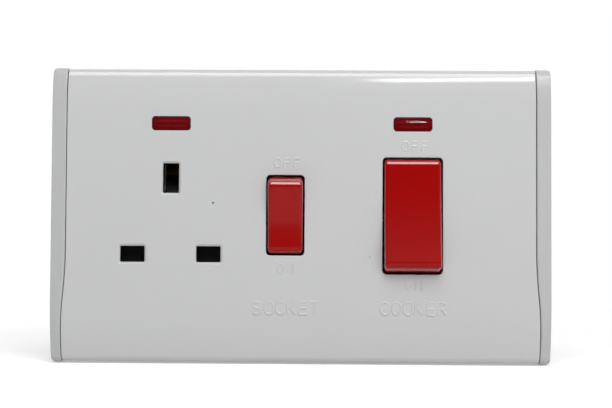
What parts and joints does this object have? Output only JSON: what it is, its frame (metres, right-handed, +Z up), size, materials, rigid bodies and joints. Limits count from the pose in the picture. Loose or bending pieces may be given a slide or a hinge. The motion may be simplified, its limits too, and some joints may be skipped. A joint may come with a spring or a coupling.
{
  "type": "cooker control unit",
  "caption": "Wall plate with a wide red rocker for a cooker, a shuttered three-pin socket with its own small red rocker, red neon lenses, a clip-on white cover and a rear housing.",
  "frame": {"origin": "centre of the rear rim's face, which lies on the wall", "axes": "+X to the right seen from the front, +Y into the wall, +Z up"},
  "size_m": [0.146, 0.0401, 0.0866],
  "materials": {
    "cover_white": "moulded white urea plastic, polished",
    "frame_white": "moulded white plastic, polished cheeks",
    "housing_white": "moulded off-white plastic, satin",
    "rocker_red": "moulded red plastic, glossy",
    "lens_red": "clear dark red plastic, polished",
    "lamp_glass": "clear blown glass",
    "resistor_body": "lacquered ceramic",
    "shutter_black": "black moulded nylon",
    "plunger_nylon": "natural nylon",
    "brass": "bare brass",
    "copper": "bare copper",
    "steel": "bright zinc-plated steel"
  },
  "bodies": {
    "unit": {"front_cover": "cover_white", "mounting_frame": "frame_white", "rear_housing": "housing_white", "socket_neon_lens": "lens_red", "cooker_neon_lens": "lens_red", "socket_neon_lamp": "lamp_glass", "cooker_neon_lamp": "lamp_glass", "neon_resistors": "resistor_body", "live_clip": "brass", "neutral_clip": "brass", "earth_clip": "brass", "supply_live_terminal": "brass", "supply_neutral_terminal": "brass", "load_live_terminal": "brass", "load_neutral_terminal": "brass", "earth_terminal": "brass", "socket_fulcrum": "copper", "cooker_live_fulcrum": "copper", "cooker_neutral_fulcrum": "copper", "load_live_contact": "copper", "load_neutral_contact": "copper", "socket_live_strap": "copper", "live_link": "copper", "neutral_link": "copper", "earth_strap": "copper", "terminal_screws": "steel", "assembly_screws": "steel", "shutter_spring": "steel"},
    "socket_rocker": {"socket_rocker": "rocker_red", "socket_plunger_spring": "steel"},
    "cooker_rocker": {"cooker_rocker": "rocker_red", "cooker_live_plunger_spring": "steel", "cooker_neutral_plunger_spring": "steel"},
    "socket_plunger": {"socket_plunger": "plunger_nylon"},
    "cooker_live_plunger": {"cooker_live_plunger": "plunger_nylon"},
    "cooker_neutral_plunger": {"cooker_neutral_plunger": "plunger_nylon"},
    "socket_contact_bar": {"socket_contact_bar": "copper"},
    "cooker_live_contact_bar": {"cooker_live_contact_bar": "copper"},
    "cooker_neutral_contact_bar": {"cooker_neutral_contact_bar": "copper"},
    "shutter": {"socket_shutter": "shutter_black"}
  },
  "joints": [
    {"name": "socket_rocker_tilt", "type": "hinge", "parent": "unit", "child": "socket_rocker", "pos_m": [-0.0045, -0.0066, 0], "axis": [1, 0, 0], "range_deg": [-14, 0]},
    {"name": "cooker_rocker_tilt", "type": "hinge", "parent": "unit", "child": "cooker_rocker", "pos_m": [0.0326, -0.0066, 0], "axis": [1, 0, 0], "range_deg": [0, 14]},
    {"name": "socket_contact_bar_tilt", "type": "hinge", "parent": "unit", "child": "socket_contact_bar", "pos_m": [-0.0045, 0.0085, 0], "axis": [1, 0, 0], "range_deg": [0, 12]},
    {"name": "cooker_live_contact_bar_tilt", "type": "hinge", "parent": "unit", "child": "cooker_live_contact_bar", "pos_m": [0.0274, 0.0085, 0], "axis": [1, 0, 0], "range_deg": [-12, 0]},
    {"name": "cooker_neutral_contact_bar_tilt", "type": "hinge", "parent": "unit", "child": "cooker_neutral_contact_bar", "pos_m": [0.0378, 0.0085, 0], "axis": [1, 0, 0], "range_deg": [-12, 0]},
    {"name": "socket_plunger_slide", "type": "slide", "parent": "socket_rocker", "child": "socket_plunger", "axis": [0, -0.9925, -0.1219], "range_m": [0, 0.0008], "stiffness_N_per_m": 300, "springref_m": -0.001, "deforming": ["socket_plunger_spring"]},
    {"name": "cooker_live_plunger_slide", "type": "slide", "parent": "cooker_rocker", "child": "cooker_live_plunger", "axis": [0, -0.9925, 0.1219], "range_m": [0, 0.0008], "stiffness_N_per_m": 300, "springref_m": -0.001, "deforming": ["cooker_live_plunger_spring"]},
    {"name": "cooker_neutral_plunger_slide", "type": "slide", "parent": "cooker_rocker", "child": "cooker_neutral_plunger", "axis": [0, -0.9925, 0.1219], "range_m": [0, 0.0008], "stiffness_N_per_m": 300, "springref_m": -0.001, "deforming": ["cooker_neutral_plunger_spring"]},
    {"name": "shutter_slide", "type": "slide", "parent": "unit", "child": "shutter", "axis": [0, 0, -1], "range_m": [0, 0.006], "stiffness_N_per_m": 40, "springref_m": -0.004, "deforming": ["shutter_spring"]}
  ],
  "couplings": [
    {"joint": "socket_contact_bar_tilt", "follows": "socket_rocker_tilt", "ratio": -0.85714},
    {"joint": "cooker_live_contact_bar_tilt", "follows": "cooker_rocker_tilt", "ratio": -0.85714},
    {"joint": "cooker_neutral_contact_bar_tilt", "follows": "cooker_rocker_tilt", "ratio": -0.85714}
  ]
}
